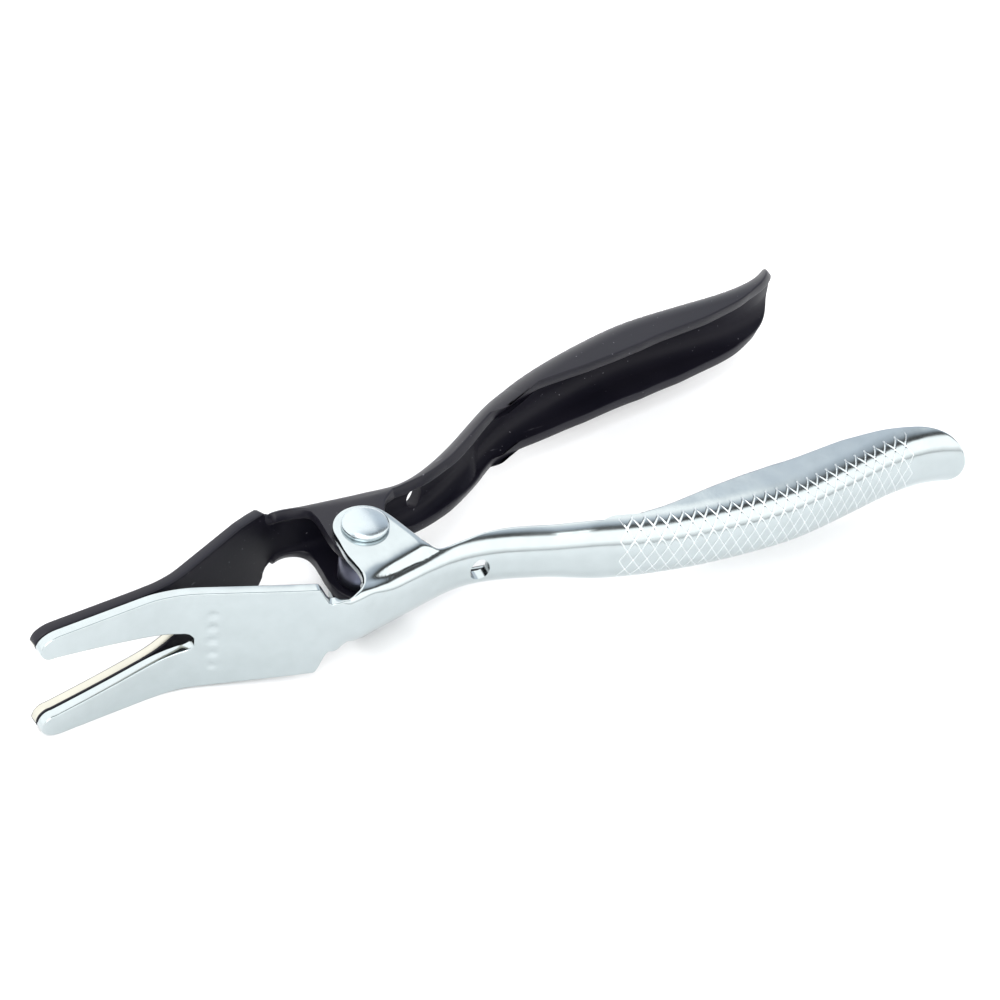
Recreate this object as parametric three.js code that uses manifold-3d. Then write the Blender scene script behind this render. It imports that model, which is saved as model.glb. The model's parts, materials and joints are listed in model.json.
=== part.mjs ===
// Hose removal pliers: two pressed steel halves on one pivot rivet.
// Squeezing the handles spreads two slotted jaw plates apart.
// Millimetres, +Z up. Z runs along the pivot rivet, +X runs from the jaws to
// the handles, and the origin is the middle of the whole tool.

import * as THREE from 'three';
import { mergeVertices } from 'three/addons/utils/BufferGeometryUtils.js';
import Module from 'manifold-3d';

const wasm = await Module();
wasm.setup();

// ---- driving dimensions, measured from the pivot axis ----
const SHEET = 2.3;            // thickness of the pressed sheet
const TIP_X = -74.6;          // tips of the jaws
const END_X = 131.5;          // ends of the handles
const JAW_GAP = 0.1;          // each closed jaw plate stands this far off the centre plane
const JAW_TIP_HALF = 13.2;    // half height of the jaw plate at its tips
const JAW_HEEL_HALF = 11.7;   // half height of the jaw plate at its heel
const SLOT_MOUTH_HALF = 7.8;  // half height of the slot at its mouth
const SLOT_ROOT_RADIUS = 2.4; // full round at the root of the slot
const SLOT_ROOT_X = -44.3;    // centre of that round
const FOLD_X = -45.2;         // where the jaw plate starts to lean out
const ELBOW_X = -12.5;        // where it turns in to the neck
const ELBOW_LENGTH = 3.2;     // rounding of the elbow, to each side
const NECK_SLOPE = -0.146;    // lean of the neck
const NECK_END_X = 8;         // where the neck runs into the handle's curve
const HEEL_X = -18.2;         // where the jaw plate steps in to the neck
const HEEL_ROUND = 1.8;       // rounding of the heel's corner
const HEEL_STEP = 2.6;        // length of the step
const JAW_SLOPE = 0.445;      // how far the jaw plate leans out, per mm of length
const EAR_RADIUS = 6.7;       // round end of each ear about the pivot
const NECK_BEND = 6.0;        // outer bend radius of the neck, nearly a half tube
const HANDLE_BEND = 6.6;      // outer bend radius of the handle
const CHROME_STEP_HALF = 6.6; // half height just behind the jaw plate's step
const CHROME_NECK_HALF = 7.5; // half height of the neck behind the outer ears
const BLACK_STEP_HALF = 7.8;
const BLACK_NECK_HALF = 6.6;  // the inner ears' neck is narrower
const CHANNEL_START_X = -15;  // where the flat jaw plate starts to curl into the neck
const HANDLE_HALF = 8.0;      // half height of the handle channel
const CHROME_EAR_HALF = 9.4;  // outer faces of the outer ears
const BLACK_EAR_HALF = 6.95;  // outer faces of the inner ears, 0.15 inside the outer ones
const PIVOT_HOLE_RADIUS = 3.15;
const HANG_HOLE_RADIUS = 2.3; // hole through the wall of each neck
const HANG_HOLE_X = 19.6;
const RIVET_RADIUS = 3.0;
const RIVET_HEAD_RADIUS = 5.1;
const RIVET_HEAD_HEIGHT = 2.3;
const RIVET_HEAD_EDGE = 0.7;  // straight rim below the dome
const BUSH_RADIUS = 5.0;
const BUSH_END_PLAY = 0.05;
const END_ROUND_X = 120.5;    // where the handle starts to round off in side view
const END_HALF = 0.2;         // share of the half height left at the very end
const STATION_STEP = 2.6;     // spacing of the channel's cross-sections
const BEND_STEPS = 4;         // facets in each bend of the channel

// ---- small tools ----
// A smooth curve through [x, value] pairs, level past both ends.
function through(pairs, x) {
  const last = pairs.length - 1;
  if (x <= pairs[0][0]) return pairs[0][1];
  if (x >= pairs[last][0]) return pairs[last][1];
  const i = pairs.findIndex((pair) => pair[0] > x) - 1;
  const [x0, v0] = pairs[i];
  const [x1, v1] = pairs[i + 1];
  const slope = (a, b) => (b[1] - a[1]) / (b[0] - a[0]);
  const m0 = i > 0 ? slope(pairs[i - 1], pairs[i + 1]) : 0;
  const m1 = i + 1 < last ? slope(pairs[i], pairs[i + 2]) : 0;
  const t = (x - x0) / (x1 - x0);
  const h = x1 - x0;
  const rise = (v1 - v0) * t * t * (3 - 2 * t);
  return v0 + rise + h * m0 * t * (1 - t) * (1 - t) - h * m1 * t * t * (1 - t);
}

function indexed(geometry) {
  const bare = geometry.clone();
  bare.deleteAttribute('normal');
  bare.deleteAttribute('uv');
  return mergeVertices(bare, 1e-4);
}

function toManifold(geometry) {
  const merged = indexed(geometry);
  const mesh = new wasm.Mesh({
    numProp: 3,
    vertProperties: new Float32Array(merged.attributes.position.array),
    triVerts: new Uint32Array(merged.index.array),
  });
  mesh.merge();
  return new wasm.Manifold(mesh);
}

function toGeometry(solid) {
  const mesh = solid.getMesh();
  const geometry = new THREE.BufferGeometry();
  const positions = new Float32Array(mesh.vertProperties);
  geometry.setAttribute('position', new THREE.BufferAttribute(positions, 3));
  geometry.setIndex(new THREE.BufferAttribute(new Uint32Array(mesh.triVerts), 1));
  return geometry;
}

// Mirrors a geometry across the plane y = 0 and keeps its faces pointing out.
function mirrorY(geometry) {
  const index = geometry.index.array;
  geometry.scale(1, -1, 1);
  for (let i = 0; i < index.length; i += 3) {
    [index[i], index[i + 1]] = [index[i + 1], index[i]];
  }
  return geometry;
}

// A plate whose outline is drawn in plan, between two heights.
function planPlate(shape, low, high) {
  const plate = new THREE.ExtrudeGeometry(shape, {
    depth: high - low, bevelEnabled: false, curveSegments: 10,
  });
  return plate.translate(0, 0, low);
}

// ---- the plan curve: the outer face of one half, seen from above ----
function outerFacePath() {
  const face = JAW_GAP + SHEET;
  const elbowY = face + JAW_SLOPE * (ELBOW_X - FOLD_X);
  const onNeck = (along) => [ELBOW_X + along, elbowY + along * NECK_SLOPE];
  const path = new THREE.Path();
  path.moveTo(TIP_X, face);
  path.lineTo(FOLD_X - 5, face);
  path.quadraticCurveTo(FOLD_X, face, FOLD_X + 4.5, face + 4.5 * JAW_SLOPE);
  path.lineTo(ELBOW_X - ELBOW_LENGTH, elbowY - ELBOW_LENGTH * JAW_SLOPE);
  path.quadraticCurveTo(ELBOW_X, elbowY, ...onNeck(ELBOW_LENGTH));
  path.lineTo(...onNeck(NECK_END_X - ELBOW_X));
  path.splineThru([
    new THREE.Vector2(17, 13.5),
    new THREE.Vector2(26, 16.0),
    new THREE.Vector2(36, 20.6),
    new THREE.Vector2(48, 26.3),
    new THREE.Vector2(60, 30.3),
    new THREE.Vector2(74, 33.2),
    new THREE.Vector2(88, 34.8),
    new THREE.Vector2(102, 34.2),
    new THREE.Vector2(115, 33.3),
    new THREE.Vector2(123.5, 33.8),
    new THREE.Vector2(END_X, 37.6),
  ]);
  return path;
}

// The path sampled finely: each sample holds a point and the inward direction.
function sampleFace(path) {
  const samples = [];
  const count = 900; // about four samples per millimetre
  for (let i = 0; i <= count; i += 1) {
    const point = path.getPointAt(i / count);
    const along = path.getTangentAt(i / count);
    samples.push({ x: point.x, y: point.y, inX: along.y, inY: -along.x });
  }
  return samples;
}

const faceSamples = sampleFace(outerFacePath());

function faceAt(x) {
  return faceSamples.find((sample) => sample.x >= x) ?? faceSamples.at(-1);
}

// Joins closed cross-sections into one closed body. A section is a list of
// [inward, z] points, measured from the outer face at its station.
function loft(stations, sectionAt) {
  const positions = [];
  const index = [];
  const sections = stations.map((station) => sectionAt(station.x));
  const size = sections[0].length;
  stations.forEach((station, i) => {
    for (const [inward, z] of sections[i]) {
      positions.push(station.x + station.inX * inward, station.y + station.inY * inward, z);
    }
  });
  for (let i = 0; i + 1 < stations.length; i += 1) {
    for (let j = 0; j < size; j += 1) {
      const a = i * size + j;
      const b = i * size + ((j + 1) % size);
      index.push(a, a + size, b, b, a + size, b + size);
    }
  }
  for (const [ring, flip] of [[0, false], [stations.length - 1, true]]) {
    const outline = sections[ring].map(([inward, z]) => new THREE.Vector2(inward, z));
    for (const [a, b, c] of THREE.ShapeUtils.triangulateShape(outline, [])) {
      const base = ring * size;
      index.push(base + a, base + (flip ? c : b), base + (flip ? b : c));
    }
  }
  const geometry = new THREE.BufferGeometry();
  geometry.setAttribute('position', new THREE.Float32BufferAttribute(positions, 3));
  geometry.setIndex(index);
  return outwardFacing(geometry);
}

// Turns a closed geometry's faces over if they point inwards.
function outwardFacing(geometry) {
  const p = geometry.attributes.position;
  const index = geometry.index.array;
  const a = new THREE.Vector3();
  const b = new THREE.Vector3();
  const c = new THREE.Vector3();
  let volume = 0;
  for (let i = 0; i < index.length; i += 3) {
    a.fromBufferAttribute(p, index[i]);
    b.fromBufferAttribute(p, index[i + 1]);
    c.fromBufferAttribute(p, index[i + 2]);
    volume += a.dot(b.cross(c));
  }
  if (volume < 0) {
    for (let i = 0; i < index.length; i += 3) {
      [index[i], index[i + 1]] = [index[i + 1], index[i]];
    }
  }
  return geometry;
}

function stationsBetween(from, to, step) {
  const count = Math.ceil((to - from) / step);
  const list = [];
  for (let i = 0; i <= count; i += 1) list.push(faceAt(from + ((to - from) * i) / count));
  return list;
}

// ---- jaw plate: flat sheet bent in plan, slotted and stepped in side view ----
function jawSideOutline(stepHalf) {
  const tineHalf = (JAW_TIP_HALF - SLOT_MOUTH_HALF) / 2;
  const tineMiddle = (JAW_TIP_HALF + SLOT_MOUTH_HALF) / 2;
  const tineX = TIP_X + tineHalf;
  const neckX = CHANNEL_START_X + 1;
  const shape = new THREE.Shape();
  shape.moveTo(neckX, -stepHalf);
  const stepX = HEEL_X + HEEL_STEP;
  const middleX = HEEL_X + HEEL_STEP / 2;
  shape.quadraticCurveTo(stepX, -stepHalf, middleX, -stepHalf - 2);
  shape.quadraticCurveTo(HEEL_X, -JAW_HEEL_HALF, HEEL_X - HEEL_ROUND, -JAW_HEEL_HALF);
  shape.lineTo(tineX, -JAW_TIP_HALF);
  shape.absarc(tineX, -tineMiddle, tineHalf, -Math.PI / 2, Math.PI / 2, true);
  shape.lineTo(SLOT_ROOT_X, -SLOT_ROOT_RADIUS);
  shape.absarc(SLOT_ROOT_X, 0, SLOT_ROOT_RADIUS, -Math.PI / 2, Math.PI / 2, false);
  shape.lineTo(tineX, SLOT_MOUTH_HALF);
  shape.absarc(tineX, tineMiddle, tineHalf, -Math.PI / 2, Math.PI / 2, true);
  shape.lineTo(HEEL_X - HEEL_ROUND, JAW_HEEL_HALF);
  shape.quadraticCurveTo(HEEL_X, JAW_HEEL_HALF, middleX, stepHalf + 2);
  shape.quadraticCurveTo(stepX, stepHalf, neckX, stepHalf);
  return shape;
}

function jawPlate(stepHalf) {
  const tall = JAW_TIP_HALF + 1;
  const section = [[0, tall], [0, -tall], [SHEET, -tall], [SHEET, tall]];
  const stations = [
    faceAt(TIP_X),
    ...stationsBetween(-51, -41, 2),
    ...stationsBetween(CHANNEL_START_X, CHANNEL_START_X + 2, 1),
  ];
  const sheet = toManifold(loft(stations, () => section));
  const outline = new THREE.ExtrudeGeometry(jawSideOutline(stepHalf), {
    depth: 30, bevelEnabled: false, curveSegments: 8,
  });
  outline.rotateX(Math.PI / 2).translate(0, 29, 0);
  return sheet.intersect(toManifold(outline));
}

// ---- channel: the neck and the handle, a U-section with rounded bends ----
function channelDepth(x) {
  return through([
    [-15, 2.5], [-12, 3.1], [-9.5, 4.4], [-7.5, 6.4], [-5, 7.2], [6, 7.2], [13, 5.8],
    [40, 5.6], [48, 6.2], [56, 7.8], [68, 10.4], [84, 11.6], [98, 11.2], [109, 9.8],
    [116, 7.6], [121, 4.8], [125, 3.1], [131, 2.6],
  ], x);
}

function bendRadius(x) {
  const free = through([[-13, 3], [-7, NECK_BEND], [38, NECK_BEND], [56, HANDLE_BEND]], x);
  return Math.min(free, channelDepth(x) - 0.05);
}

function halfHeight(x, stepHalf, neckHalf, joggleX) {
  const straight = through([
    [-14, stepHalf], [-7, (stepHalf + neckHalf) / 2], [4, neckHalf],
    [joggleX, neckHalf], [joggleX + 8, HANDLE_HALF],
  ], x);
  const t = Math.max(0, (x - END_ROUND_X) / (END_X - END_ROUND_X));
  return straight * Math.sqrt(1 - (1 - END_HALF ** 2) * t ** 3);
}

function channelSection(x, half) {
  const depth = channelDepth(x);
  const radius = Math.min(bendRadius(x), half - 0.1);
  const inner = Math.max(radius - SHEET, 0.02);
  const centre = radius;
  const points = [[depth, half]];
  const arc = (bend, sign, from, to) => {
    for (let k = 0; k <= BEND_STEPS; k += 1) {
      const angle = from + ((to - from) * k) / BEND_STEPS;
      const rise = half - radius + bend * Math.sin(angle);
      points.push([centre - bend * Math.cos(angle), sign * rise]);
    }
  };
  arc(radius, 1, Math.PI / 2, 0);
  arc(radius, -1, 0, Math.PI / 2);
  points.push([depth, -half]);
  points.push([depth, -(half - radius + inner)]);
  arc(inner, -1, Math.PI / 2, 0);
  arc(inner, 1, 0, Math.PI / 2);
  points.push([depth, half - radius + inner]);
  return points;
}

function channelStations() {
  const stations = stationsBetween(CHANNEL_START_X, -6, STATION_STEP / 2);
  stations.push(...stationsBetween(-6, END_ROUND_X, STATION_STEP).slice(1));
  const steps = 9;
  for (let i = 1; i <= steps; i += 1) {
    const x = END_ROUND_X + (END_X - END_ROUND_X) * Math.sin((i / steps) * Math.PI / 2);
    stations.push(faceAt(x));
  }
  return stations;
}

function channel(stepHalf, neckHalf, joggleX) {
  const section = (x) => channelSection(x, halfHeight(x, stepHalf, neckHalf, joggleX));
  return toManifold(loft(channelStations(), section));
}

// ---- ears: flat lobes that reach from the neck to the pivot ----
function earOutline() {
  const shape = new THREE.Shape();
  shape.moveTo(8, 8.1);
  shape.lineTo(-7.4, 10);
  shape.lineTo(-EAR_RADIUS, 0);
  shape.absarc(0, 0, EAR_RADIUS, Math.PI, 0, false);
  shape.lineTo(EAR_RADIUS + 0.2, 3.2);
  shape.quadraticCurveTo(7.1, 5.7, 8.4, 7.2);
  return shape;
}

function ears(earHalf) {
  const shape = earOutline();
  const upper = toManifold(planPlate(shape, earHalf - SHEET, earHalf));
  const lower = toManifold(planPlate(shape, -earHalf, SHEET - earHalf));
  return upper.add(lower);
}

// ---- holes ----
function pivotHole() {
  const hole = new THREE.CylinderGeometry(PIVOT_HOLE_RADIUS, PIVOT_HOLE_RADIUS, 40, 32);
  return toManifold(hole.rotateX(Math.PI / 2));
}

function hangHole() {
  const hole = new THREE.CylinderGeometry(HANG_HOLE_RADIUS, HANG_HOLE_RADIUS, 8, 24);
  const wall = faceAt(HANG_HOLE_X);
  hole.rotateZ(Math.atan2(-wall.inX, wall.inY));
  return toManifold(hole.translate(wall.x, wall.y, 0));
}

// One pressing, on the +Y side of the pivot.
function pressing({ earHalf, stepHalf, neckHalf, joggleX }) {
  return jawPlate(stepHalf)
    .add(channel(stepHalf, neckHalf, joggleX))
    .add(ears(earHalf))
    .subtract(pivotHole())
    .subtract(hangHole());
}

function blackHalf() {
  return toGeometry(pressing({
    earHalf: BLACK_EAR_HALF,
    stepHalf: BLACK_STEP_HALF,
    neckHalf: BLACK_NECK_HALF,
    joggleX: 28,
  }));
}

function chromeHalf() {
  return mirrorY(toGeometry(pressing({
    earHalf: CHROME_EAR_HALF,
    stepHalf: CHROME_STEP_HALF,
    neckHalf: CHROME_NECK_HALF,
    joggleX: 34,
  })));
}

// ---- rivet: a shank with a low domed head at each end ----
function pivotRivet() {
  const rim = CHROME_EAR_HALF + RIVET_HEAD_EDGE;
  const crown = RIVET_HEAD_HEIGHT - RIVET_HEAD_EDGE;
  const upper = [];
  for (let k = 0; k <= 6; k += 1) {
    const angle = (k / 6) * Math.PI / 2;
    const radius = k === 6 ? 0 : RIVET_HEAD_RADIUS * Math.cos(angle);
    upper.push(new THREE.Vector2(radius, rim + crown * Math.sin(angle)));
  }
  const head = [
    new THREE.Vector2(RIVET_RADIUS, CHROME_EAR_HALF),
    new THREE.Vector2(RIVET_HEAD_RADIUS, CHROME_EAR_HALF),
    ...upper,
  ];
  const foot = head.map((point) => new THREE.Vector2(point.x, -point.y)).reverse();
  const geometry = new THREE.LatheGeometry([...foot, ...head], 32);
  return outwardFacing(indexed(geometry.rotateX(Math.PI / 2)));
}

// ---- bush: keeps the inner ears apart, turning on the rivet ----
function spacerBush() {
  const half = BLACK_EAR_HALF - SHEET - BUSH_END_PLAY;
  const bore = RIVET_RADIUS + 0.15;
  const profile = [
    new THREE.Vector2(bore, -half),
    new THREE.Vector2(BUSH_RADIUS, -half),
    new THREE.Vector2(BUSH_RADIUS, half),
    new THREE.Vector2(bore, half),
    new THREE.Vector2(bore, -half),
  ];
  const geometry = new THREE.LatheGeometry(profile, 28);
  return outwardFacing(indexed(geometry.rotateX(Math.PI / 2)));
}

// ---- materials and assembly ----
const zinc = new THREE.MeshStandardMaterial({ color: 0xc9d1d3, roughness: 0.28, metalness: 1 });
const rivetSteel = new THREE.MeshStandardMaterial({
  color: 0xbcc7ce, roughness: 0.32, metalness: 1,
});
const blackFinish = new THREE.MeshStandardMaterial({
  color: 0x1d1c22, roughness: 0.42, metalness: 0.2,
});
const bushSteel = new THREE.MeshStandardMaterial({
  color: 0x8f9396, roughness: 0.4, metalness: 1,
});

function piece(name, geometry, material) {
  const mesh = new THREE.Mesh(geometry, material);
  mesh.name = name;
  return mesh;
}

const pliers = new THREE.Group();
pliers.add(piece('chrome_half', chromeHalf(), zinc));
pliers.add(piece('black_half', blackHalf(), blackFinish));
pliers.add(piece('pivot_rivet', pivotRivet(), rivetSteel));
pliers.add(piece('spacer_bush', spacerBush(), bushSteel));
const box = new THREE.Box3().setFromObject(pliers, true);
pliers.position.x = -(box.min.x + box.max.x) / 2;

const tool = new THREE.Group();
tool.add(pliers);

export default tool;
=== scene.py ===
import json
import math

import bmesh
import bpy
import numpy as np
from mathutils import Matrix, Vector


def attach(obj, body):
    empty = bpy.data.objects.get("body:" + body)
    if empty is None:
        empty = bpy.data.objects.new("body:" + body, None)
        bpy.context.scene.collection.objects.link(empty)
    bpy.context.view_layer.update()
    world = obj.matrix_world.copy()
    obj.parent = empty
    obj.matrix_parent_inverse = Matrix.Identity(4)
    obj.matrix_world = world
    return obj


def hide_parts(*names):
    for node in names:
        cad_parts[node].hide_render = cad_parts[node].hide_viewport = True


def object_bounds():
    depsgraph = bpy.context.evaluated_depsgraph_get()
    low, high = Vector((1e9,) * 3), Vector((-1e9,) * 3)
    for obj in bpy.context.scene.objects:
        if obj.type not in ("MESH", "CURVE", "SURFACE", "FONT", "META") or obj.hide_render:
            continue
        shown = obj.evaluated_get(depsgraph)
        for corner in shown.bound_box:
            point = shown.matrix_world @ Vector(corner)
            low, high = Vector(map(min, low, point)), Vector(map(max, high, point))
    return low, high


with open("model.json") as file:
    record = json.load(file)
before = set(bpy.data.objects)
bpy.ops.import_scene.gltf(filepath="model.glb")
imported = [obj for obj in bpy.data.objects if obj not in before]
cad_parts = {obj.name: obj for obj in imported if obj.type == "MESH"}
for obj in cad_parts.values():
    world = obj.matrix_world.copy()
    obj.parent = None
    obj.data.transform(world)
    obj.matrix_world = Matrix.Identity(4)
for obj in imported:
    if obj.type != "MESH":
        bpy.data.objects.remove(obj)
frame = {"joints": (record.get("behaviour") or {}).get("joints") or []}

cad_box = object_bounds()

# Lengths in this script are millimetres measured from the pivot axis, unless a name ends in _m.
MM = 0.001
PIVOT_X = frame["joints"][0]["pos_m"][0] / MM

# ---- driving dimensions ----
SHEET = 2.3               # sheet thickness
JAW_GAP = 0.1             # each jaw plate stands this far off the centre plane
TIP_X = -74.6             # tips of the jaws
END_X = 131.3             # ends of the handles
FOLD_X = -46.0            # where the jaw plate starts to lean out
JAW_SLOPE = 0.44          # how far it leans out, per mm of length
ELBOW_X = -12.5           # where the jaw plate turns in to the neck
ELBOW_LENGTH = 3.2        # rounding of the elbow, to each side
NECK_SLOPE = -0.146       # lean of the neck
NECK_END_X = 8            # where the neck runs into the handle's curve
TINE_TOP = 13.15          # outer edge of a tine
TINE_BOTTOM = 7.8         # slot edge of a tine at the tip
TIP_ROUND_OUTER = 4.4     # length of the rounding at a tine's outer corner
TIP_ROUND_INNER = 2.7     # the same at its slot corner
SLOT_ROOT_X = -44.3       # centre of the round at the root of the slot
SLOT_ROOT_RADIUS = 2.4
SLOT_BOW = 0.35           # how much the slot's edges bow outward
HEEL_STEP = 2.8           # length of the step behind the heel
EAR_RADIUS = 6.6          # round end of each ear about the pivot
EAR_SKEW = 0.18           # cross-sections lean back this much in the ear, per mm inward
CHROME_EAR = 9.4          # outer face of the outer ears, from the middle plane
BLACK_EAR = 6.95          # outer face of the inner ears
END_ROUND = 8.5           # length over which the handle's end rounds off
JOGGLE = 1.4              # step out in the flanges of the black neck
JOGGLE_FROM_X, JOGGLE_TO_X = 40.2, 41.8
JOGGLE_LEAN = 1.3         # how far the step moves toward the jaws, per mm of depth
EDGE_ROUND = 0.3          # rounding of every cut edge
HANG_HOLE_X = 19.6        # the round hole in the wall of each neck
HANG_HOLE_RADIUS = 2.15
HANG_HOLE_STRETCH = 1.25  # how much taller than wide it is
PIVOT_HOLE_RADIUS = 3.15
RIVET_RADIUS = 3.0
RIVET_HEAD_RADIUS = 4.95
RIVET_HEAD_HEIGHT = 2.4
RIVET_HEAD_WALL = 0.6     # straight rim below the dome
RIVET_RIM_ROUND = 0.25    # rounding at the foot of that rim
RIVET_LIFT = 0.01         # gap between the head and the ear, so that they don't touch
BUSH_RADIUS = 5.0
BUSH_EDGE = 0.25          # bevel at each end of the bush
BUSH_END_PLAY = 0.05

HATCH_PITCH = 2.8         # spacing of the handle's scored lines along the handle
HATCH_STEPS = 14          # grid steps in one pitch
HATCH_LEAN = math.radians(30)  # lean of the scored lines from square across the handle
HATCH_FROM_X = 46.5
HATCH_CELLS = 26          # pitches along the handle
HATCH_DEPTH = 0.10
HATCH_COLUMNS = 31        # grid columns from the middle of the wall to the hatch's end
BLACK_HATCH_COLUMNS = 22  # the same on the black half
HATCH_FADE_COLUMNS = 5    # columns over which the lines run out
HATCH_FADE_ROWS = 6
MARK_X = -38.6            # column of punch marks on the bright jaw plate
MARK_RADIUS = 1.2
MARK_COUNT = 5
MARK_PITCH = 3.4
MARK_REACH = 1.5          # closer cross-sections this far to each side of the marks
MARK_DEPTH = 0.42
SIDE_COLUMNS = 42         # grid columns from the middle of the wall to the free edge
INNER_EVERY = 2           # the inner face keeps every second column

HATCH_DX = HATCH_PITCH / HATCH_STEPS
HATCH_DS = HATCH_DX / math.tan(HATCH_LEAN)
HATCH_TO_X = HATCH_FROM_X + HATCH_CELLS * HATCH_PITCH


# ---- curves along the tool ----
GRID_STEP = 0.1
GRID_MARGIN = 6           # the grid runs on this far past both ends
GRID = np.arange(TIP_X - GRID_MARGIN, END_X + GRID_MARGIN, GRID_STEP)


def blurred(values, sigma):
    """Values on GRID, smoothed over sigma millimetres."""
    reach = int(sigma * 30)   # three sigma, in grid steps
    kernel = np.exp(-0.5 * (np.arange(-reach, reach + 1) * GRID_STEP / sigma) ** 2)
    kernel /= kernel.sum()
    left = 2 * values[0] - values[reach:0:-1]
    right = 2 * values[-1] - values[-2:-reach - 2:-1]
    return np.convolve(np.concatenate([left, values, right]), kernel, "valid")


def table(pairs, sigma=1.5):
    """A smooth curve along the tool that follows (x, value) pairs."""
    xs, values = zip(*pairs)
    smooth = blurred(np.interp(GRID, xs, values), sigma)
    return lambda x: np.interp(x, GRID, smooth)


def quadratic(p0, p1, p2, count=12):
    """Points on a quadratic Bezier curve."""
    t = np.linspace(0, 1, count)[:, None]
    return (1 - t) ** 2 * np.array(p0) + 2 * t * (1 - t) * np.array(p1) + t * t * np.array(p2)


def catmull_rom(points, count=14):
    """A smooth curve through points."""
    p = np.array(points, float)
    p = np.vstack([p[0], p, p[-1]])
    t = np.linspace(0, 1, count, endpoint=False)[:, None]
    out = []
    for a, b, c, d in zip(p, p[1:], p[2:], p[3:]):
        v0, v1 = (c - a) / 2, (d - b) / 2
        cubic, square = 2 * b - 2 * c + v0 + v1, -3 * b + 3 * c - 2 * v0 - v1
        out.append(cubic * t**3 + square * t**2 + v0 * t + b)
    return np.vstack(out + [p[-2:-1]])


def smoothstep(a, b, x):
    """0 at a, 1 at b, level past both; b may be less than a."""
    t = np.clip((x - a) / (b - a), 0, 1)
    return t * t * (3 - 2 * t)


def outer_face():
    """y of a half's outer face along x."""
    face = JAW_GAP + SHEET
    elbow_y = face + JAW_SLOPE * (ELBOW_X - FOLD_X)
    neck_y = elbow_y + (NECK_END_X - ELBOW_X) * NECK_SLOPE
    handle = [
        (NECK_END_X, neck_y), (17, 13.5), (26, 16.0), (36, 20.6), (48, 26.3), (60, 30.3), (74, 33.2),
        (88, 34.8), (102, 34.2), (115, 33.3), (123.5, 33.8), (128, 35.1), (END_X, 36.9),
    ]
    before, after = 6, 5  # length of the fold's curve to each side of FOLD_X
    curve = np.vstack([
        [(TIP_X - GRID_MARGIN, face)],
        quadratic(
            (FOLD_X - before, face), (FOLD_X, face), (FOLD_X + after, face + after * JAW_SLOPE),
        ),
        quadratic(
            (ELBOW_X - ELBOW_LENGTH, elbow_y - ELBOW_LENGTH * JAW_SLOPE), (ELBOW_X, elbow_y),
            (ELBOW_X + ELBOW_LENGTH, elbow_y + ELBOW_LENGTH * NECK_SLOPE),
        ),
        catmull_rom(handle),
        [(END_X + GRID_MARGIN, 40.2)],
    ])
    raw = np.interp(GRID, curve[:, 0], curve[:, 1])
    soft = blurred(raw, 2.0)
    crisp = blurred(raw, 0.7)
    share = np.interp(GRID, [4, 12], [0, 1])
    return share * soft + (1 - share) * crisp


FACE = outer_face()
FACE_SLOPE = np.gradient(FACE, GRID)


def face_y(x):
    """y of the outer face of the +y half."""
    return np.interp(x, GRID, FACE)


def ear_share(x):
    """How much of a cross-section's direction is the ear's, from 0 to 1."""
    return smoothstep(-13, -9, x) * (1 - smoothstep(9.5, 14, x))


def inward(x):
    """Unit direction in plan from the outer face toward the other half."""
    share = ear_share(x)
    lean = np.interp(x, GRID, FACE_SLOPE) * (1 - share) - EAR_SKEW * share
    lean = np.where(x < -13, lean * smoothstep(-13, -17, x), lean)
    length = np.sqrt(1 + lean**2)
    return lean / length, -1 / length


def on_sections(outline):
    """Turns a plan outline (x, y) into (section x, depth) pairs with the sections in order."""
    outline = np.array(outline)
    section = outline[:, 0].copy()
    for _ in range(30):
        ux, uy = inward(section)
        depth = (face_y(section) - outline[:, 1]) / -uy
        section = outline[:, 0] - ux * depth
    section = np.maximum.accumulate(section)
    return np.stack([section + np.arange(len(section)) * 2e-4, depth], 1)


def evenly(points, step):
    """The same polyline with its points step apart."""
    length = np.concatenate([[0], np.cumsum(np.hypot(*np.diff(points, axis=0).T))])
    at = np.linspace(0, length[-1], int(length[-1] / step) + 1)
    return np.stack([np.interp(at, length, points[:, k]) for k in (0, 1)], 1)


def ear_outline(left, right):
    """Free edge of the neck and ear in plan: in along left, round the pivot, out along right."""
    arc = np.radians(np.linspace(8, 172, 46))
    lobe = np.stack([-EAR_RADIUS * np.cos(arc), -EAR_RADIUS * np.sin(arc)], 1)
    whole = np.vstack([catmull_rom(left, 8)[:-1], lobe, catmull_rom(right, 8)[1:]])
    return evenly(on_sections(whole), 0.42)


CHROME_EAR_EDGE = ear_outline(
    [
        (-13.4, 15.7), (-12.2, 15.6), (-10.4, 15.0), (-8.5, 13.4), (-7.7, 11.2), (-7.6, 8.2),
        (-7.5, 4.6), (-6.75, 0.5),
    ],
    [(6.5, -0.6), (6.6, 3.1), (7.4, 6.2), (8.8, 8.7), (10.7, 10.3), (13.6, 10.5)],
)
BLACK_EAR_EDGE = ear_outline(
    [
        (-13.4, 14.5), (-11.6, 14.5), (-9.4, 14.3), (-7.2, 13.4), (-5.9, 11.8), (-5.6, 9.3),
        (-6.0, 6.0), (-6.5, 2.9), (-6.7, 0.5),
    ],
    [(6.5, -0.6), (7.2, 3.0), (8.2, 5.2), (9.9, 7.4), (13.4, 10.0)],
)

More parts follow.
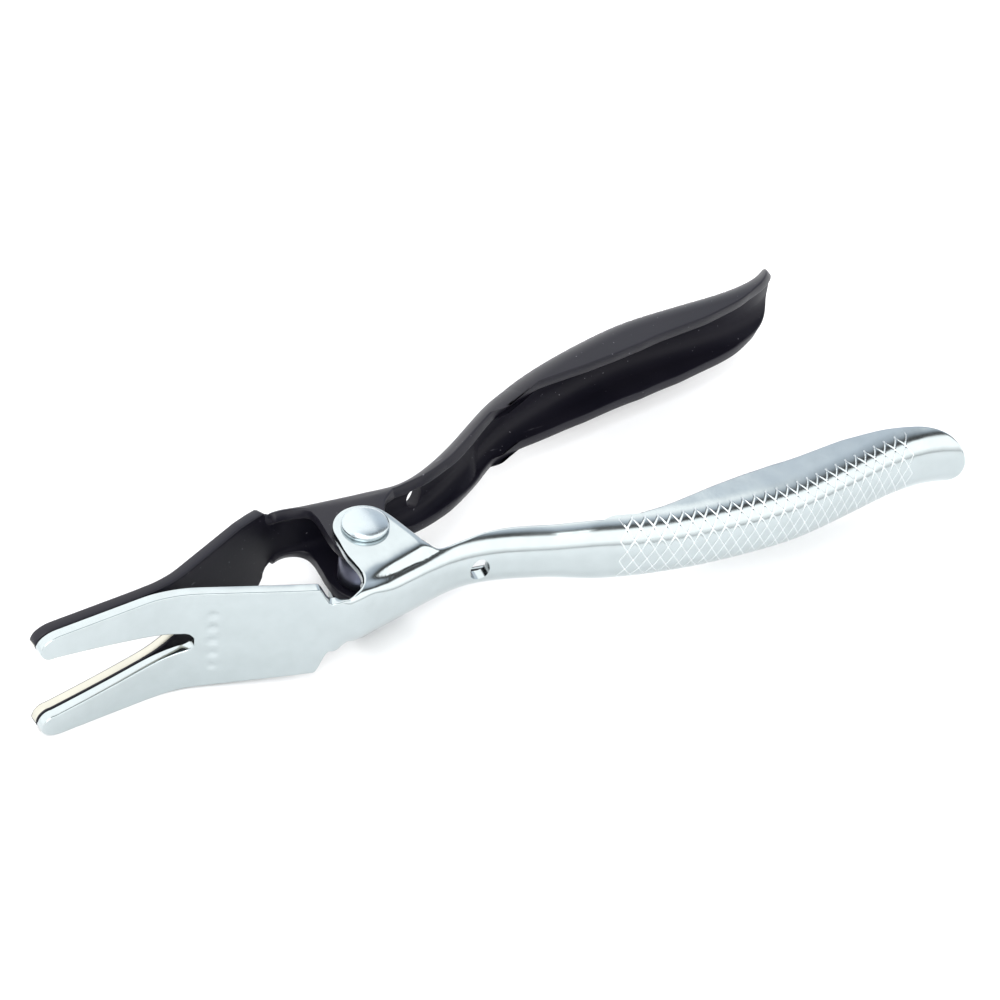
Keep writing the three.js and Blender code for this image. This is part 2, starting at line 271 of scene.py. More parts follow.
# How far the handle's two flanges reach in from the wall, from the neck to the end.
DEPTH_TOP = table([
    (10, 3.3), (17.5, 3.1), (21, 3.9), (26, 4.3), (44, 4.5), (50, 5.4), (57, 6.9), (63, 8.5),
    (70, 10.1), (78, 11.2), (86, 11.6), (96, 10.9), (106, 10.1), (116, 7.9), (121, 6.2),
    (125, 4.8), (132, 3.6),
], 1.2)
DEPTH_BOTTOM = table([
    (10, 5.4), (20, 6.1), (27, 6.7), (33, 6.2), (38, 5.7), (43, 5.2), (48, 6.1), (60, 8.9),
    (71, 10.7), (88, 12.0), (100, 11.0), (112, 8.9), (117, 7.7), (121, 6.2), (125, 4.8), (132, 3.6),
], 1.2)


class Flank:
    """The shape of one side of a pressing, from the middle of its wall to one free edge.

    heel_x and heel: where the jaw plate ends, and its half height on the way there.
    notch, half, radius: (x, value) pairs for the free edge behind the heel, the half height
    of the neck and handle, and the bend between wall and flange.
    depth: how far the handle's flange reaches in. ear_edge: its edge round the ear.
    ear_face: height of the ear. ramp: the depths between which the sheet climbs to it.
    joggle and spread: the step in the neck's flange, and how much longer than usual it is.
    """

    def __init__(
        self, heel_x, heel, notch, half, radius, depth, ear_edge, ear_face, ramp, joggle, spread=0,
    ):
        self.heel_x = heel_x
        self.heel = heel
        self.notch = table(notch, 0.6)
        self.half = table(half, 0.9)
        self.radius = table(radius, 0.9)
        self.depth = depth
        self.ear_edge = ear_edge
        self.ear_face = ear_face
        self.ramp = ramp
        self.joggle = joggle
        self.spread = spread

    def flat(self, x):
        """Half height of the wall's flat part."""
        return np.maximum(self.half(x) - self.radius(x), 0.3)

    def depth_at(self, x):
        """How far the free edge stands in from the outer face."""
        edge = self.ear_edge
        inside = (x > edge[0, 0]) & (x < edge[-1, 0])
        rest = np.where(x < 0, 0.5, self.depth(x))
        merge = smoothstep(0, 3.5, x - edge[-1, 0])
        rest = np.where(x > 0, edge[-1, 1] * (1 - merge) + rest * merge, rest)
        return np.where(inside, np.interp(x, edge[:, 0], edge[:, 1]), rest)

    def edge(self, x):
        """Distance from the middle of the wall to the free edge, measured along the sheet."""
        radius, depth = self.radius(x), self.depth_at(x)
        angle = np.arccos(np.clip(1 - depth / radius, 0, 1))
        curled = self.flat(x) + radius * angle + np.maximum(depth - radius, 0)
        plate = np.interp(x, [-50, -24, -20, -15], [TINE_TOP, *self.heel])
        step = smoothstep(self.heel_x - HEEL_STEP, self.heel_x, x)
        front = plate * (1 - step) + self.notch(x) * step
        start = self.ear_edge[0, 0]
        join = smoothstep(start - 0.8, start + 0.8, x)
        edge = np.where(x < start + 0.8, front * (1 - join) + np.maximum(curled, 0.1) * join, curled)
        tip = np.clip((x - TIP_X) / TIP_ROUND_OUTER, 0, 1)
        middle = (TINE_TOP + TINE_BOTTOM) / 2
        rounded = middle + (TINE_TOP - middle) * np.sqrt(np.clip(1 - (1 - tip) ** 2, 0, 1))
        edge = np.where(x < TIP_X + TIP_ROUND_OUTER, rounded, edge)
        tail = np.clip((x - END_X + END_ROUND) / END_ROUND, 0, 1)
        return edge * np.sqrt(1 - tail**2)

    def place(self, x, s):
        """Points of the outer face: s is the distance along the sheet from the wall's middle."""
        radius, flat = self.radius(x), self.flat(x)
        curl = smoothstep(-16.5, -13.0, x)
        kappa = np.maximum(curl / radius, 1e-5)
        angle = np.clip(kappa * (s - flat), 0, math.pi / 2)
        past = np.maximum(s - flat - math.pi / 2 / kappa, 0)
        z = np.minimum(s, flat) + np.sin(angle) / kappa
        d = (1 - np.cos(angle)) / kappa + past
        share = smoothstep(-12, -8.5, x) * (1 - smoothstep(8, 13, x))
        rise = np.clip((d - self.ramp[0]) / (self.ramp[1] - self.ramp[0]), 0, 1)
        z = z + share * (self.ear_face - self.half(x)) * (1 - (1 - rise) ** 4)
        if self.joggle:
            spread = self.spread + 5 * smoothstep(3.0, 5.5, d)
            late = smoothstep(JOGGLE_FROM_X - spread, JOGGLE_TO_X + spread, x + JOGGLE_LEAN * d)
            z = z + self.joggle * late * np.clip(s / np.maximum(flat, 1), 0, 1)
        ux, uy = inward(x)
        return np.stack([x + ux * d, face_y(x) + uy * d, z], -1)

    def normal(self, x, s):
        """Outward unit normals at the same points."""
        step = 0.01
        along = self.place(x + step, s) - self.place(x - step, s)
        up = self.place(x, s + step) - self.place(x, s - step)
        n = np.cross(up, along)
        return n / np.maximum(np.linalg.norm(n, axis=-1), 1e-12)[..., None]


def slot_edge(x):
    """Half height of the jaw slot, zero behind its root."""
    slope = (TINE_BOTTOM - SLOT_ROOT_RADIUS) / (SLOT_ROOT_X - TIP_X - TIP_ROUND_INNER)
    bow = SLOT_BOW * np.sin(math.pi * np.clip((x - TIP_X) / (SLOT_ROOT_X - TIP_X), 0, 1))
    edge = SLOT_ROOT_RADIUS + slope * (SLOT_ROOT_X - x) + bow
    round_x = np.clip((x - SLOT_ROOT_X) / SLOT_ROOT_RADIUS, 0, 1)
    edge = np.where(x > SLOT_ROOT_X, SLOT_ROOT_RADIUS * np.sqrt(1 - round_x**2), edge)
    tip = np.clip((x - TIP_X) / TIP_ROUND_INNER, 0, 1)
    middle = (TINE_TOP + TINE_BOTTOM) / 2
    rounded = middle - (middle - TINE_BOTTOM) * np.sqrt(np.clip(1 - (1 - tip) ** 2, 0, 1))
    return np.where(x < TIP_X + TIP_ROUND_INNER, rounded, edge)


def stations(heel_x, ear_edge):
    """x of every cross-section: close together where an outline turns steeply."""
    quarter = np.linspace(0, math.pi / 2, 11)
    tip = TIP_X + TIP_ROUND_OUTER * (1 - np.cos(quarter))
    slot = np.linspace(tip[-1], SLOT_ROOT_X, 24)
    root = SLOT_ROOT_X + SLOT_ROOT_RADIUS * np.sin(quarter)
    heel_from = heel_x - HEEL_STEP - 0.5
    plate = np.concatenate([
        np.linspace(root[-1], MARK_X - MARK_REACH, 7)[:-1],
        np.linspace(MARK_X - MARK_REACH, MARK_X + MARK_REACH, 19),
        np.linspace(MARK_X + MARK_REACH, heel_from, 34)[1:],
    ])
    heel = np.linspace(heel_from, ear_edge[0, 0] - 0.8, 26)
    ear = np.concatenate([[heel[-1]], ear_edge[:, 0]])
    neck = np.linspace(ear[-1], HATCH_FROM_X, 80)
    hatch = HATCH_FROM_X + HATCH_DX * np.arange(HATCH_CELLS * HATCH_STEPS + 1)
    tail = np.linspace(hatch[-1], END_X - END_ROUND, 12)
    turn = np.linspace(0, math.pi / 2, 22)
    end = END_X - END_ROUND + END_ROUND * np.sin(turn)
    return np.concatenate([
        tip[:-1], slot[:-1], root[:-1], plate[:-1], heel[:-1], ear[:-1], neck[:-1], hatch[:-1],
        tail[:-1], end,
    ])


# ---- one pressed half ----
PLAIN, INSIDE, SLOT_EDGE, SCORED = range(4)


def scored(x, hatch_start, hatch_rows, reach):
    """How deep each grid point of the outer face lies in a scored line. reach is in columns."""
    k = np.arange(len(x))[:, None] - hatch_start
    j = np.arange(SIDE_COLUMNS + 1)[None, :]
    on_line = ((k - j) % HATCH_STEPS == 0) | ((k + j) % HATCH_STEPS == 0)
    fade = 1 - smoothstep(reach - 1 - HATCH_FADE_COLUMNS, reach - 1, j)
    last = hatch_rows - HATCH_FADE_ROWS
    ends = smoothstep(0, HATCH_FADE_ROWS, k) * (1 - smoothstep(last, hatch_rows, k))
    inside = (k >= 0) & (k <= hatch_rows)
    return np.where(on_line & inside, HATCH_DEPTH * fade * ends, 0)


def hatch_faces(ids, hatch_start, hatch_rows, reach):
    """The outer face's polygons, split along the scored lines, and the kind of each."""
    faces, kinds = [], []
    rows, cols = ids.shape
    for i in range(rows - 1):
        k = i - hatch_start
        for j in range(cols - 1):
            a, b, c, d = ids[i, j], ids[i, j + 1], ids[i + 1, j + 1], ids[i + 1, j]
            if not 0 <= k < hatch_rows or j >= reach - 2:
                faces.append((a, b, c, d))
                kinds.append(PLAIN)
                continue
            rising = min((k - j) % HATCH_STEPS, (j - k) % HATCH_STEPS)
            falling = min((k + j + 1) % HATCH_STEPS, (-k - j - 1) % HATCH_STEPS)
            faces.extend([(a, b, c), (a, c, d)] if rising <= falling else [(a, b, d), (b, c, d)])
            kinds.extend([SCORED if 0 in (rising, falling) else PLAIN] * 2)
    return faces, kinds


def grid_faces(ids):
    """One polygon for each cell of a grid of vertex numbers."""
    a, b = ids[:-1, :-1], ids[:-1, 1:]
    c, d = ids[1:, 1:], ids[1:, :-1]
    return [tuple(face) for face in np.stack([a, b, c, d], 2).reshape(-1, 4).tolist()]


def section_columns(x, edge, slot, root_at):
    """Where each cross-section's grid columns lie, and the borders left for the rounded rims."""
    widest = 1.0
    middle = (edge + slot) / 2
    top_border = np.minimum(EDGE_ROUND * np.sqrt(1 + np.gradient(edge, x)**2), widest)
    low_border = np.minimum(EDGE_ROUND * np.sqrt(1 + np.gradient(slot, x)**2), widest)
    top = np.maximum(edge - top_border, middle)
    low = np.minimum(slot + low_border, middle)
    low[root_at:] = 0
    column = np.arange(SIDE_COLUMNS + 1)
    even = low[:, None] + (top - low)[:, None] * column / SIDE_COLUMNS
    reach = HATCH_COLUMNS * HATCH_DS
    rest = (column - HATCH_COLUMNS) / (SIDE_COLUMNS - HATCH_COLUMNS)
    lined = np.where(rest > 0, reach + (top[:, None] - reach) * rest, column * HATCH_DS)
    share = smoothstep(38, HATCH_FROM_X, x) * (1 - smoothstep(HATCH_TO_X, END_X - END_ROUND - 1, x))
    return even * (1 - share[:, None]) + lined * share[:, None], low, top


def pressed_half(name, side, flanks, mark, reach):
    """One pressing as a closed mesh. side is +1 for the +y half, -1 for the other.

    flanks: its upper and lower flank. mark: a function that gives the depth of punch marks.
    reach: grid columns from the middle of the wall to the end of the hatching.
    """
    x = stations(min(f.heel_x for f in flanks), flanks[0].ear_edge)
    slot = slot_edge(x)
    root_at = int(np.argmax(slot <= 1e-6))
    hatch_start = int(np.argmin(np.abs(x - HATCH_FROM_X)))
    hatch_rows = HATCH_CELLS * HATCH_STEPS
    verts, faces, kinds = [], [], []
    count = 0

    def add(points, sign):
        nonlocal count
        rows, cols = points.shape[:2]
        verts.append(points.reshape(-1, 3) * (1, 1, sign))
        count += rows * cols
        return np.arange(count - rows * cols, count).reshape(rows, cols)

    def use(new_faces, kind):
        faces.extend(new_faces)
        kinds.extend(kind if isinstance(kind, list) else [kind] * len(new_faces))

    for sign, flank in zip((1, -1), flanks):
        edge = flank.edge(x)
        s, low, top = section_columns(x, edge, slot, root_at)
        wide_x = np.repeat(x[:, None], SIDE_COLUMNS + 1, axis=1)
        face, n = flank.place(wide_x, s), flank.normal(wide_x, s)
        dent = scored(x, hatch_start, hatch_rows, reach) + mark(face, s * sign)
        outer = add(face - n * dent[..., None], sign)
        inner = add((face - n * SHEET)[:, ::INNER_EVERY], sign)
        off = np.array([0.3, 1.0, SHEET / EDGE_ROUND - 1, SHEET / EDGE_ROUND - 0.3]) * EDGE_ROUND
        four_x = np.repeat(x[:, None], 4, axis=1)
        rims = []
        for border, limit, corner in ((top, edge, n[:, -1:]), (low, slot, n[:, :1])):
            near = border + (limit - border) * 0.7
            rim_s = np.stack([near, limit, limit, near], 1)
            rims.append(add(flank.place(four_x, rim_s) - corner * off[None, :, None], sign))
        use(*hatch_faces(outer, hatch_start, hatch_rows, reach))
        use(grid_faces(inner), INSIDE)
        use(grid_faces(np.hstack([outer[:, -1:], rims[0], inner[:, -1:]])), PLAIN)
        front = slice(0, root_at + 1)
        use(grid_faces(np.hstack([outer[front, :1], rims[1][front, :2]])), PLAIN)
        use(grid_faces(rims[1][front, 1:3]), SLOT_EDGE)
        use(grid_faces(np.hstack([rims[1][front, 2:], inner[front, :1]])), PLAIN)

    points = np.vstack(verts) * (1, side, 1) + (PIVOT_X, 0, 0)
    mesh = bpy.data.meshes.new(name)
    mesh.from_pydata((points * MM).tolist(), [], faces)
    mesh.polygons.foreach_set("material_index", kinds)
    bm = bmesh.new()
    bm.from_mesh(mesh)
    bmesh.ops.remove_doubles(bm, verts=bm.verts, dist=2e-7)
    bmesh.ops.dissolve_degenerate(bm, edges=bm.edges, dist=1e-8)
    bmesh.ops.recalc_face_normals(bm, faces=bm.faces)
    bm.to_mesh(mesh)
    bm.free()
    mesh.shade_smooth()
    piece = bpy.data.objects.new(name, mesh)
    bpy.context.scene.collection.objects.link(piece)
    return piece


def no_mark(points, s):
    """A plain jaw plate."""
    return np.zeros(s.shape)


def punch_marks(points, s):
    """A plain column of round punch marks across the jaw plate."""
    depth = np.zeros(s.shape)
    for z in (np.arange(MARK_COUNT) - (MARK_COUNT - 1) // 2) * MARK_PITCH:
        far = np.hypot(points[:, :, 0] - MARK_X, s - z)
        depth += MARK_DEPTH * np.clip(1.15 - far / MARK_RADIUS, 0, 1)
    return depth


def cylinder_cutter(radius, length, location, direction, stretch=1):
    """A closed cylinder through location, which lies in the middle plane, stretched in z."""
    bm = bmesh.new()
    bmesh.ops.create_cone(
        bm, cap_ends=True, segments=64, radius1=radius * MM, radius2=radius * MM,
        depth=length * MM,
    )
    turn = Vector((0, 0, 1)).rotation_difference(Vector(direction)).to_matrix().to_4x4()
    taller = Matrix.Diagonal((1, 1, stretch, 1))
    bm.transform(taller @ Matrix.Translation(Vector(location) * MM) @ turn)
    mesh = bpy.data.meshes.new("cutter")
    bm.to_mesh(mesh)
    bm.free()
    cutter = bpy.data.objects.new("cutter", mesh)
    bpy.context.scene.collection.objects.link(cutter)
    return cutter


def cut(piece, cutters):
    """Cuts round holes through a piece for good."""
    for cutter in cutters:
        modifier = piece.modifiers.new("hole", "BOOLEAN")
        modifier.operation = "DIFFERENCE"
        modifier.solver = "EXACT"
        modifier.object = cutter
    depsgraph = bpy.context.evaluated_depsgraph_get()
    mesh = bpy.data.meshes.new_from_object(piece.evaluated_get(depsgraph))
    piece.modifiers.clear()
    piece.data = mesh
    for cutter in cutters:
        bpy.data.objects.remove(cutter)
    mesh.shade_smooth()
    mesh.set_sharp_from_angle(angle=math.radians(45))


def drill(piece, side):
    """Cuts the pivot hole through both ears and the hang hole through the neck's wall."""
    slope = float(np.interp(HANG_HOLE_X, GRID, FACE_SLOPE))
    wall = (PIVOT_X + HANG_HOLE_X, side * float(face_y(HANG_HOLE_X)), 0)
    cut(piece, [
        cylinder_cutter(PIVOT_HOLE_RADIUS, 40, (PIVOT_X, 0, 0), (0, 0, 1)),
        cylinder_cutter(HANG_HOLE_RADIUS, 9, wall, (-slope, side, 0), HANG_HOLE_STRETCH),
    ])


# ---- turned pieces ----
def lathe(name, profile, segments=96):
    """A closed turned piece from a profile of (radius, z) points."""
    bm = bmesh.new()
    rings = []
    for r, z in profile:
        ring = []
        for k in range(segments):
            angle = 2 * math.pi * k / segments
            spot = (PIVOT_X + r * math.cos(angle), r * math.sin(angle), z)
            ring.append(bm.verts.new([length * MM for length in spot]))
        rings.append(ring)
    pairs = list(zip(rings, rings[1:]))
    if profile[0][0] > 0.001:
        pairs.append((rings[-1], rings[0]))
    for a, b in pairs:
        for k in range(segments):
            m = (k + 1) % segments
            bm.faces.new((a[k], a[m], b[m], b[k]))
    bmesh.ops.remove_doubles(bm, verts=bm.verts, dist=1e-8)
    bmesh.ops.recalc_face_normals(bm, faces=bm.faces)
    mesh = bpy.data.meshes.new(name)
    bm.to_mesh(mesh)
    bm.free()
    mesh.shade_smooth()
    mesh.set_sharp_from_angle(angle=math.radians(50))
    piece = bpy.data.objects.new(name, mesh)
    bpy.context.scene.collection.objects.link(piece)
    return piece


def rivet():
    """The pivot rivet: a shank with a low domed head at each end."""
    shoulder = CHROME_EAR + RIVET_HEAD_WALL
    crown = RIVET_HEAD_HEIGHT - RIVET_HEAD_WALL
    steps = 16
    dome = []
    for k in range(1, steps + 1):
        angle = (k / steps) * math.pi / 2
        dome.append((RIVET_HEAD_RADIUS * math.cos(angle), shoulder + crown * math.sin(angle)))
    dome[-1] = (0, shoulder + crown)
    head = [
        (RIVET_RADIUS, CHROME_EAR + RIVET_LIFT),
        (RIVET_HEAD_RADIUS - RIVET_RIM_ROUND, CHROME_EAR + RIVET_LIFT),
        (RIVET_HEAD_RADIUS - RIVET_RIM_ROUND / 4, CHROME_EAR + 0.08),
        (RIVET_HEAD_RADIUS, CHROME_EAR + RIVET_RIM_ROUND),
        (RIVET_HEAD_RADIUS, shoulder),
        *dome,
    ]
    foot = [(r, -z) for r, z in reversed(head)]
    return lathe("pivot_rivet_turned", foot + head)


def bush():
    """The tube on the rivet that keeps the inner ears apart."""
    half = BLACK_EAR - SHEET - BUSH_END_PLAY
    bore, edge = PIVOT_HOLE_RADIUS, BUSH_EDGE
    return lathe("spacer_bush_turned", [
        (bore, -half + edge), (bore + edge, -half), (BUSH_RADIUS - edge, -half),
        (BUSH_RADIUS, -half + edge), (BUSH_RADIUS, half - edge), (BUSH_RADIUS - edge, half),
        (bore + edge, half), (bore, half - edge),
    ])


# ---- materials ----
def new_material(name):
    """A material with its nodes, its links and its main shader."""
    material = bpy.data.materials.new(name)
    material.use_nodes = True
    nodes = material.node_tree.nodes
    return material, nodes, material.node_tree.links, nodes["Principled BSDF"]


def noise(nodes, links, scale, detail=2.0, stretch=(1, 1, 1), rough=0.5):
    """Noise over the object, its scale in waves per metre."""
    where = nodes.new("ShaderNodeTexCoord")
    mapping = nodes.new("ShaderNodeMapping")
    mapping.inputs["Scale"].default_value = stretch
    texture = nodes.new("ShaderNodeTexNoise")
    texture.inputs["Scale"].default_value = scale
    texture.inputs["Detail"].default_value = detail
    texture.inputs["Roughness"].default_value = rough
    links.new(where.outputs["Object"], mapping.inputs["Vector"])
    links.new(mapping.outputs["Vector"], texture.inputs["Vector"])
    return texture.outputs["Fac"]


def ramp(nodes, links, source, stops):
    """Maps a value to colours through (position, colour) stops."""
    node = nodes.new("ShaderNodeValToRGB")
    band = node.color_ramp
    while len(band.elements) < len(stops):
        band.elements.new(0.5)
    for element, (at, colour) in zip(band.elements, stops):
        element.position = at
        element.color = (*colour, 1)
    links.new(source, node.inputs["Fac"])
    return node.outputs["Color"]


def bump(nodes, links, source, strength, distance_m, normal=None):
    """A bump from a height, on top of another bump where one is given."""
    node = nodes.new("ShaderNodeBump")
    node.inputs["Strength"].default_value = strength
    node.inputs["Distance"].default_value = distance_m
    links.new(source, node.inputs["Height"])
    if normal is not None:
        links.new(normal, node.inputs["Normal"])
    return node.outputs["Normal"]


def grey(value):
    return (value, value, value)


def bright_plate(name, tint, rough_low, rough_high):
    """Bright zinc plating on pressed steel: soft gloss, faint mottling, a fine orange peel."""
    material, nodes, links, shader = new_material(name)
    shader.inputs["Metallic"].default_value = 1.0
    mottled = noise(nodes, links, 260, 4, rough=0.6)
    low = tuple(c * 0.93 for c in tint)
    links.new(ramp(nodes, links, mottled, [(0.3, low), (0.7, tint)]), shader.inputs["Base Color"])
    haze = noise(nodes, links, 90, 3)
    rough = ramp(nodes, links, haze, [(0.3, grey(rough_low)), (0.7, grey(rough_high))])
    links.new(rough, shader.inputs["Roughness"])
    peel = noise(nodes, links, 900, 2)
    sag = noise(nodes, links, 110, 1)
    first = bump(nodes, links, sag, 0.25, 0.0004)
    links.new(bump(nodes, links, peel, 0.08, 0.00008, first), shader.inputs["Normal"])
    return material


def black_finish(name, gloss, level):
    """Satin black over steel, with faint scuffs and specks of dust."""
    material, nodes, links, shader = new_material(name)
    cloud = noise(nodes, links, 60, 4)
    dark = (level * 0.8, level * 0.75, level * 1.3)
    light = (level * 1.25, level * 1.15, level * 1.8)
    base = ramp(nodes, links, cloud, [(0.35, dark), (0.7, light)])
    specks = ramp(nodes, links, noise(nodes, links, 1500, 1), [(0.775, grey(0)), (0.80, grey(0.8))])
    scratch_noise = noise(nodes, links, 300, 3, (0.25, 1.6, 1.6))
    scratches = ramp(nodes, links, scratch_noise, [(0.72, grey(0)), (0.76, grey(0.4))])
    marks = nodes.new("ShaderNodeMix")
    marks.data_type = "RGBA"
    marks.blend_type = "LIGHTEN"
    marks.inputs["Factor"].default_value = 1.0
    links.new(specks, marks.inputs["A"])
    links.new(scratches, marks.inputs["B"])
    tint = nodes.new("ShaderNodeMix")
    tint.data_type = "RGBA"
    links.new(marks.outputs["Result"], tint.inputs["Factor"])
    links.new(base, tint.inputs["A"])
    tint.inputs["B"].default_value = (0.16, 0.16, 0.18, 1)
    links.new(tint.outputs["Result"], shader.inputs["Base Color"])
    rough = ramp(nodes, links, cloud, [(0.3, grey(0.36)), (0.7, grey(0.46))])
    links.new(rough, shader.inputs["Roughness"])
    shader.inputs["Specular IOR Level"].default_value = gloss
    peel = noise(nodes, links, 1100, 2)
    links.new(bump(nodes, links, peel, 0.12, 0.00006), shader.inputs["Normal"])
    return material


def floor_paper():
    """Plain pale paper."""
    material, nodes, links, shader = new_material("paper_floor")
    fibre = noise(nodes, links, 40, 3)
    pale = ramp(nodes, links, fibre, [(0.3, grey(0.92)), (0.7, grey(0.94))])
    links.new(pale, shader.inputs["Base Color"])
    shader.inputs["Roughness"].default_value = 0.9
    return material


# ---- the tool ----
def chrome_flanks():
    """The upper and lower flank of the bright half, with its outer ears."""
    shared = {"ear_edge": CHROME_EAR_EDGE, "ear_face": CHROME_EAR, "ramp": (2.8, 8.2), "joggle": 0}
    upper = Flank(
        heel_x=-17.0, heel=(11.9, 11.8, 11.6),
        notch=[(-18, 7.6), (-15.5, 7.9), (-13, 8.6), (-12, 9.0)],
        half=[
            (-18, 7.8), (-15, 8.2), (-12.5, 9.0), (-10.5, 9.3), (-8.8, 9.2), (-2.5, 7.6), (6, 7.2),
            (34, 7.2), (42, 8.0),
        ],
        radius=[(-13, 2.4), (-9, 2.8), (-5, 3.9), (6, 4.2), (14, 6.0), (38, 6.0), (56, 6.6)],
        depth=DEPTH_TOP, **shared,
    )
    lower = Flank(
        heel_x=-17.0, heel=(11.3, 10.9, 10.6),
        notch=[(-18, 5.3), (-12, 5.0)],
        half=[(-18, 6.8), (34, 7.1), (42, 8.0)],
        radius=[(-13, 6.3), (38, 6.0), (56, 6.6)],
        depth=DEPTH_BOTTOM, **shared,
    )
    return upper, lower


def black_flanks():
    """The upper and lower flank of the black half, with its inner ears."""
    shared = {"ear_edge": BLACK_EAR_EDGE, "ear_face": BLACK_EAR, "ramp": (3.5, 7.0), "joggle": JOGGLE}
    upper = Flank(
        heel_x=-14.6, heel=(11.2, 10.4, 9.0),
        notch=[(-18, 7.6), (-12, 7.0)],
        half=[(-18, 7.6), (-8, 7.1), (6, 6.6)],
        radius=[(-14, 3.2), (-6, 4.3), (8, 4.5), (15, 5.4), (38, 5.4), (56, 6.6)],
        depth=DEPTH_TOP, spread=7, **shared,
    )
    lower = Flank(
        heel_x=-16.0, heel=(11.6, 11.2, 10.8),
        notch=[(-17, 9.0), (-14, 7.8), (-12, 7.2)],
        half=[(-18, 9.0), (-14, 8.0), (-11, 7.0), (6, 6.6)],
        radius=[(-13, 3.5), (8, 4.5), (15, 5.4), (38, 5.4), (56, 6.6)],
        depth=DEPTH_BOTTOM, **shared,
    )
    return upper, lower


chrome = pressed_half("chrome_half_pressed", -1, chrome_flanks(), punch_marks, HATCH_COLUMNS)
black = pressed_half("black_half_pressed", 1, black_flanks(), no_mark, BLACK_HATCH_COLUMNS)
drill(chrome, -1)
drill(black, 1)
rivet_piece = rivet()
bush_piece = bush()

zinc = bright_plate("bright_zinc", (0.475, 0.525, 0.535), 0.12, 0.20)
rivet_metal = bright_plate("rivet_plate", (0.50, 0.56, 0.585), 0.20, 0.30)
# Partly painted highlight: the scored lines are rougher than the plating, and their much lighter tint
# stands in for light caught on the groove walls.
scored_glint_zinc = bright_plate("scored_zinc_painted_glint", (0.72, 0.76, 0.77), 0.38, 0.50)
bush_metal = bright_plate("bush_steel", (0.19, 0.195, 0.26), 0.28, 0.40)
bare_metal = bright_plate("bare_steel", (0.56, 0.55, 0.48), 0.30, 0.42)
satin = black_finish("black_satin", 0.28, 0.009)
# Painted shade: the black half's inner faces get this darker, less glossy copy of the satin black,
# which stands in for the shade inside the channel.
shaded_inside_black = black_finish("black_inside_painted_shade", 0.10, 0.008)
dressed = [
    # the scored lines take the rougher zinc with a painted-highlight tint
    (chrome, [zinc, zinc, zinc, scored_glint_zinc], "bright_side", "chrome_half", "bright_plated_steel"),
    # the black half's inner faces take the painted-shade copy of the satin black
    (black, [satin, shaded_inside_black, bare_metal, satin], "black_side", "black_half", "black_finish"),
    (rivet_piece, [rivet_metal], "bright_side", "pivot_rivet", "rivet_steel"),
    (bush_piece, [bush_metal], "bright_side", "spacer_bush", "bush_steel"),
]
for piece, materials, body, node, slot in dressed:
    kept = [polygon.material_index for polygon in piece.data.polygons]
    piece.data.materials.clear()
    for material in materials:
        piece.data.materials.append(material)
    piece.data.polygons.foreach_set("material_index", kept)
    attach(piece, body)
    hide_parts(node)

# ---- floor, light and camera ----
floor_mesh = bpy.data.meshes.new("floor")
SPAN_M = 3.0              # half the floor's width
FLOOR_Z_M = cad_box[0][2]
corners = [(-SPAN_M, -SPAN_M), (SPAN_M, -SPAN_M), (SPAN_M, SPAN_M), (-SPAN_M, SPAN_M)]
floor_mesh.from_pydata([(*corner, FLOOR_Z_M) for corner in corners], [], [(0, 1, 2, 3)])
floor = bpy.data.objects.new("floor", floor_mesh)
bpy.context.scene.collection.objects.link(floor)
floor.data.materials.append(floor_paper())

VIEW_TURN = math.radians(38.13)   # how far the camera stands to the left of square on
VIEW_RISE = math.radians(40.95)
VIEW_ROLL = math.radians(-6.37)
DISTANCE = 640                    # from the camera to the plane through the pivot
IMAGE_SIDE = 1000                 # pixels
PX_PER_MM = 4.887                 # at that distance
SENSOR_MM = 36
AIM_RIGHT, AIM_UP = 28.12, 12.40  # the middle of the picture, from the pivot
SKY = 2.1                 # brightness of the studio's brightest part


def add_camera():
    """The camera, looking down at the bright half from the front left."""
    back = Vector((
        -math.sin(VIEW_TURN) * math.cos(VIEW_RISE), -math.cos(VIEW_TURN) * math.cos(VIEW_RISE),
        math.sin(VIEW_RISE),
    ))
    level = Vector((math.cos(VIEW_TURN), -math.sin(VIEW_TURN), 0))
    rise = back.cross(level)
    right = level * math.cos(VIEW_ROLL) - rise * math.sin(VIEW_ROLL)
    up = level * math.sin(VIEW_ROLL) + rise * math.cos(VIEW_ROLL)
    spot = Vector((PIVOT_X, 0, 0)) + right * AIM_RIGHT + up * AIM_UP + back * DISTANCE
    data = bpy.data.cameras.new("camera")
    data.sensor_width = SENSOR_MM
    data.lens = PX_PER_MM * DISTANCE / IMAGE_SIDE * SENSOR_MM
    data.clip_end = 20
    camera = bpy.data.objects.new("camera", data)
    turn = Matrix((right, up, back)).transposed().to_4x4()
    camera.matrix_world = Matrix.Translation(spot * MM) @ turn
    bpy.context.scene.collection.objects.link(camera)
    bpy.context.scene.camera = camera


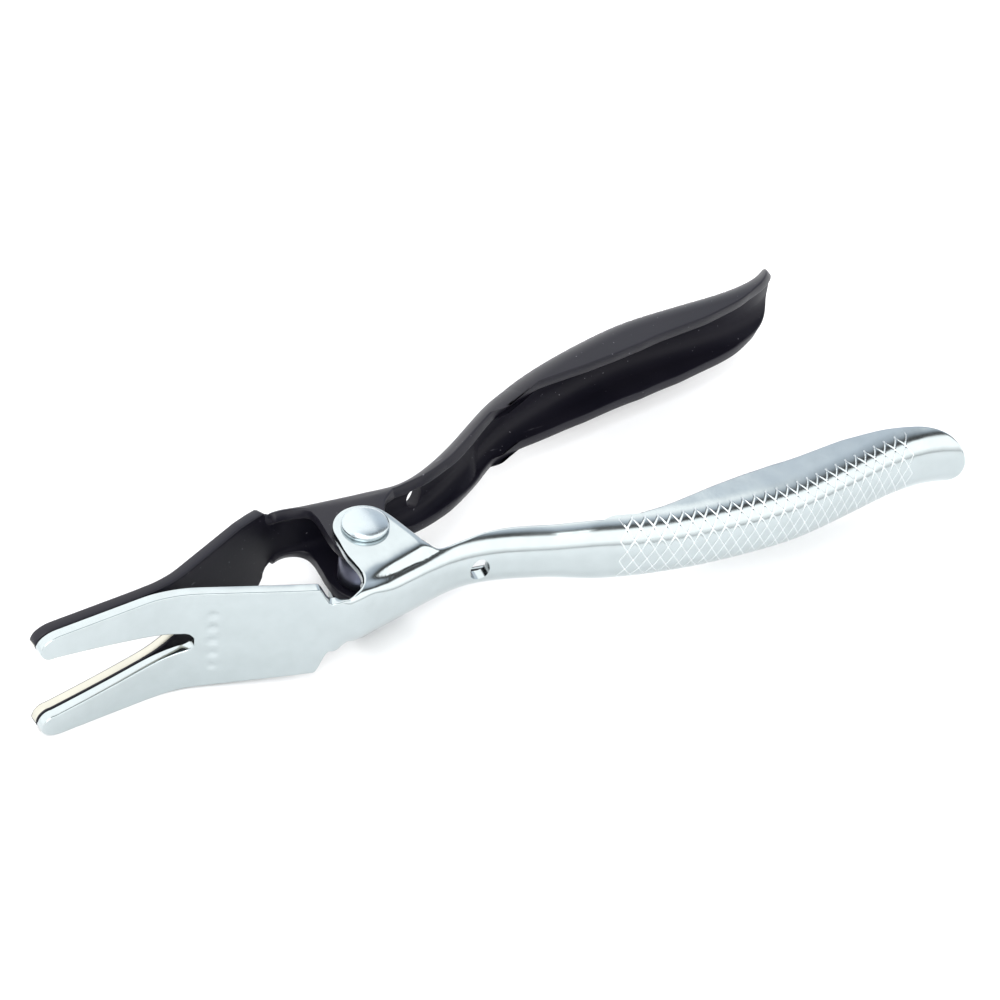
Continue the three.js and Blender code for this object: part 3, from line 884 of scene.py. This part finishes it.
def add_world():
    """A white studio wrapped round the tool's length, with a dark strip high in front."""
    world = bpy.data.worlds.new("studio")
    world.use_nodes = True
    bpy.context.scene.world = world
    nodes, links = world.node_tree.nodes, world.node_tree.links
    where = nodes.new("ShaderNodeTexCoord")
    split = nodes.new("ShaderNodeSeparateXYZ")
    links.new(where.outputs["Generated"], split.inputs["Vector"])
    front = nodes.new("ShaderNodeMath")
    front.operation = "MULTIPLY"
    front.inputs[1].default_value = -1
    links.new(split.outputs["Y"], front.inputs[0])
    angle = nodes.new("ShaderNodeMath")
    angle.operation = "ARCTAN2"
    links.new(split.outputs["Z"], angle.inputs[0])
    links.new(front.outputs["Value"], angle.inputs[1])
    turned = nodes.new("ShaderNodeMath")
    turned.operation = "MULTIPLY_ADD"
    turned.inputs[1].default_value = 1 / math.tau
    turned.inputs[2].default_value = 0.5
    links.new(angle.outputs["Value"], turned.inputs[0])
    # degrees up from the horizon in front, over the top, and down to the horizon behind
    front_sky = [
        (-4, grey(0.9)), (2, grey(0.65)), (8, grey(1.4)), (20, grey(2.1)), (56, grey(2.1)),
        (60, grey(0.06)),
    ]
    left = [(70, grey(0.10)), (82, (0.80, 0.88, 0.98)), (102, grey(1.9)), (176, grey(1.9))]
    right = [
        (74, grey(0.12)), (92, (0.60, 0.66, 0.74)), (125, (0.92, 1.0, 1.12)),
        (176, (0.95, 1.0, 1.08)),
    ]
    skies = []
    for back_sky in (left, right):
        stops = []
        for up, colour in front_sky + back_sky:
            stops.append(((up + 180) / 360, tuple(c / SKY for c in colour)))
        skies.append(ramp(nodes, links, turned.outputs["Value"], stops))
    across = nodes.new("ShaderNodeMapRange")
    across.inputs["From Min"].default_value = 0.45
    across.inputs["From Max"].default_value = 0.55
    across.interpolation_type = "SMOOTHSTEP"
    links.new(split.outputs["X"], across.inputs["Value"])
    both = nodes.new("ShaderNodeMix")
    both.data_type = "RGBA"
    links.new(across.outputs["Result"], both.inputs["Factor"])
    links.new(skies[0], both.inputs["A"])
    links.new(skies[1], both.inputs["B"])
    background = nodes["Background"]
    links.new(both.outputs["Result"], background.inputs["Color"])
    background.inputs["Strength"].default_value = SKY


def add_softbox(name, spot, size_m, energy):
    """A rectangular lamp at spot, in metres, that faces the middle of the tool."""
    data = bpy.data.lights.new(name, "AREA")
    data.shape = "RECTANGLE"
    data.size, data.size_y = size_m
    data.energy = energy
    light = bpy.data.objects.new(name, data)
    light.location = spot
    light.rotation_euler = (-Vector(spot)).to_track_quat("-Z", "Y").to_euler()
    bpy.context.scene.collection.objects.link(light)


add_camera()
add_world()
add_softbox("key", (-0.7, -0.5, 1.1), (0.9, 0.9), 10)
bpy.context.scene.view_settings.view_transform = "Standard"

bpy.context.view_layer.update()
